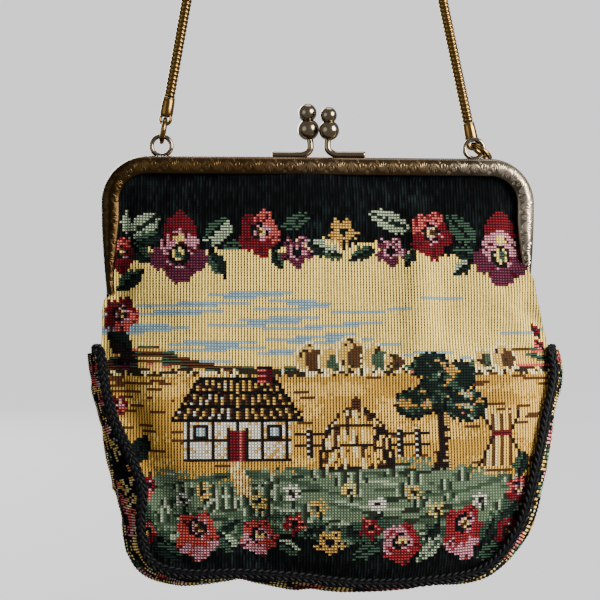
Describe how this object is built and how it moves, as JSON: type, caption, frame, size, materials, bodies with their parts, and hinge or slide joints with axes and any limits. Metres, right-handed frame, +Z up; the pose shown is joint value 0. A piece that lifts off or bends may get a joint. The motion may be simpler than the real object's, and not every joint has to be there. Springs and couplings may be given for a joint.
{
  "type": "frame handbag",
  "caption": "Soft tapestry handbag on a hinged metal frame with a kiss-lock clasp, braid-trimmed seams and a snake-chain handle, hanging by its chain.",
  "frame": {"origin": "the underside of the chain's bend, where it lies on a hook", "axes": "+Z up along the hang, -Y towards the front of the bag, +X to the viewer's right"},
  "size_m": [0.2107, 0.0518, 0.5019],
  "materials": {
    "frame_metal": "aged, embossed",
    "chain_metal": "aged, polished",
    "tapestry": "ribbed jacquard weave",
    "gusset_cloth": "ribbed jacquard weave",
    "braid": "plaited cord"
  },
  "bodies": {
    "root": {"frame_front": "frame_metal", "frame_back": "frame_metal", "hinge_pin_left": "frame_metal", "hinge_pin_right": "frame_metal", "front_panel": "tapestry", "back_panel": "tapestry", "gusset": "gusset_cloth", "front_braid": "braid", "back_braid": "braid", "jump_ring_left": "chain_metal", "jump_ring_right": "chain_metal", "chain_cap_left": "chain_metal", "chain_cap_right": "chain_metal", "chain": "chain_metal"}
  },
  "joints": []
}
